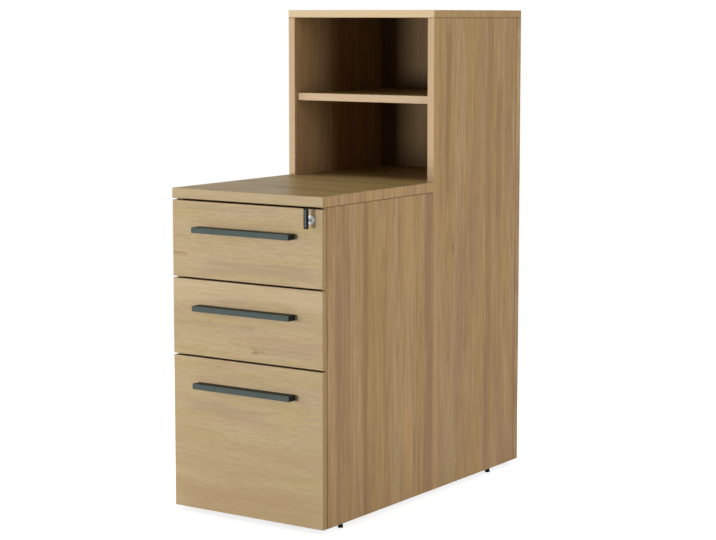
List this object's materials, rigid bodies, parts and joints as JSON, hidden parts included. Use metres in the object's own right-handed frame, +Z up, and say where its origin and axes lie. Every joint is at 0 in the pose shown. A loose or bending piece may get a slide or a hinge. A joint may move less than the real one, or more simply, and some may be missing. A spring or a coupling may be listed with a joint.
{
  "type": "drawer pedestal with bookcase",
  "caption": "Narrow oak-grain office pedestal with lockable drawers on runners, a desk-height top and an open bookcase with a shelf standing behind it.",
  "frame": {"origin": "on the floor, under the middle of the whole piece with its handles", "axes": "+Z up, +X to the right, +Y from the drawer fronts to the back"},
  "size_m": [0.416, 0.875, 1.138],
  "materials": {
    "oak_front": "satin oak-grain laminate, grain across",
    "oak_panel": "satin oak-grain laminate, grain upright",
    "oak_flat": "satin oak-grain laminate, grain across",
    "box_board": "pale grey melamine",
    "box_bottom": "pale grey hardboard",
    "dowel": "fluted beech",
    "handle_paint": "satin graphite",
    "runner_steel": "bright zinc",
    "fixing_steel": "bright zinc",
    "lock_chrome": "polished",
    "plug_nickel": "nickel-plated",
    "insert_brass": "plain",
    "key_steel": "nickel-plated",
    "grip_plastic": "fine texture",
    "foot_plastic": "moulded black",
    "pin_steel": "nickel-plated"
  },
  "bodies": {
    "carcass": {"desk_top": "oak_flat", "pedestal_left_side": "oak_panel", "pedestal_right_side": "oak_panel", "pedestal_bottom": "oak_flat", "pedestal_back": "oak_panel", "bookcase_left_side": "oak_panel", "bookcase_right_side": "oak_panel", "bookcase_top": "oak_flat", "bookcase_bottom": "oak_flat", "bookcase_lower_panel": "oak_panel", "bookcase_back": "oak_panel", "fixed_shelf": "oak_flat", "adjustable_shelf": "oak_flat", "shelf_pins": "pin_steel", "panel_dowels": "dowel", "joining_bolts": "fixing_steel", "foot_inserts": "insert_brass", "lock_bar_guides": "grip_plastic", "top_runner_outer": "runner_steel", "middle_runner_outer": "runner_steel", "bottom_runner_outer": "runner_steel"},
    "top_drawer": {"top_drawer_front": "oak_front", "top_handle": "handle_paint", "top_handle_screws": "fixing_steel", "top_box_sides": "box_board", "top_box_bottom": "box_bottom", "top_box_back": "box_board", "top_lock_lug": "fixing_steel", "top_runner_inner": "runner_steel", "lock_body": "lock_chrome", "lock_nut": "fixing_steel"},
    "top_runner": {"top_runner_middle": "runner_steel"},
    "middle_drawer": {"middle_drawer_front": "oak_front", "middle_handle": "handle_paint", "middle_handle_screws": "fixing_steel", "middle_box_sides": "box_board", "middle_box_bottom": "box_bottom", "middle_box_back": "box_board", "middle_lock_lug": "fixing_steel", "middle_runner_inner": "runner_steel"},
    "middle_runner": {"middle_runner_middle": "runner_steel"},
    "bottom_drawer": {"bottom_drawer_front": "oak_front", "bottom_handle": "handle_paint", "bottom_handle_screws": "fixing_steel", "bottom_box_sides": "box_board", "bottom_box_bottom": "box_bottom", "bottom_box_back": "box_board", "bottom_lock_lug": "fixing_steel", "bottom_runner_inner": "runner_steel", "file_rails": "runner_steel"},
    "bottom_runner": {"bottom_runner_middle": "runner_steel"},
    "lock_core": {"lock_plug": "plug_nickel", "lock_cam": "fixing_steel"},
    "key": {"key_blade": "key_steel", "key_grip": "grip_plastic"},
    "lock_bar": {"lock_bar": "fixing_steel"},
    "front_left_foot": {"front_left_foot": "foot_plastic"},
    "front_right_foot": {"front_right_foot": "foot_plastic"},
    "back_left_foot": {"back_left_foot": "foot_plastic"},
    "back_right_foot": {"back_right_foot": "foot_plastic"}
  },
  "joints": [
    {"name": "top_drawer_slide", "type": "slide", "parent": "carcass", "child": "top_drawer", "axis": [0, -1, 0], "range_m": [0, 0.38]},
    {"name": "top_runner_slide", "type": "slide", "parent": "carcass", "child": "top_runner", "axis": [0, -1, 0], "range_m": [0, 0.19]},
    {"name": "middle_drawer_slide", "type": "slide", "parent": "carcass", "child": "middle_drawer", "axis": [0, -1, 0], "range_m": [0, 0.38]},
    {"name": "middle_runner_slide", "type": "slide", "parent": "carcass", "child": "middle_runner", "axis": [0, -1, 0], "range_m": [0, 0.19]},
    {"name": "bottom_drawer_slide", "type": "slide", "parent": "carcass", "child": "bottom_drawer", "axis": [0, -1, 0], "range_m": [0, 0.38]},
    {"name": "bottom_runner_slide", "type": "slide", "parent": "carcass", "child": "bottom_runner", "axis": [0, -1, 0], "range_m": [0, 0.19]},
    {"name": "lock_turn", "type": "hinge", "parent": "top_drawer", "child": "lock_core", "pos_m": [0.1774, -0.4125, 0.6895], "axis": [0, -1, 0], "range_deg": [0, 90]},
    {"name": "lock_bar_slide", "type": "slide", "parent": "carcass", "child": "lock_bar", "axis": [0, 0, 1], "range_m": [0, 0.0113]},
    {"name": "key_pull", "type": "slide", "parent": "lock_core", "child": "key", "axis": [0, -1, 0], "range_m": [0, 0.03]},
    {"name": "front_left_foot_screw", "type": "slide", "parent": "carcass", "child": "front_left_foot", "axis": [0, 0, -1], "range_m": [0, 0.012]},
    {"name": "front_right_foot_screw", "type": "slide", "parent": "carcass", "child": "front_right_foot", "axis": [0, 0, -1], "range_m": [0, 0.012]},
    {"name": "back_left_foot_screw", "type": "slide", "parent": "carcass", "child": "back_left_foot", "axis": [0, 0, -1], "range_m": [0, 0.012]},
    {"name": "back_right_foot_screw", "type": "slide", "parent": "carcass", "child": "back_right_foot", "axis": [0, 0, -1], "range_m": [0, 0.012]}
  ],
  "couplings": [
    {"joint": "top_runner_slide", "follows": "top_drawer_slide", "ratio": 0.5},
    {"joint": "middle_runner_slide", "follows": "middle_drawer_slide", "ratio": 0.5},
    {"joint": "bottom_runner_slide", "follows": "bottom_drawer_slide", "ratio": 0.5},
    {"joint": "lock_turn", "follows": "lock_bar_slide", "rad_per_m": 138.84}
  ]
}
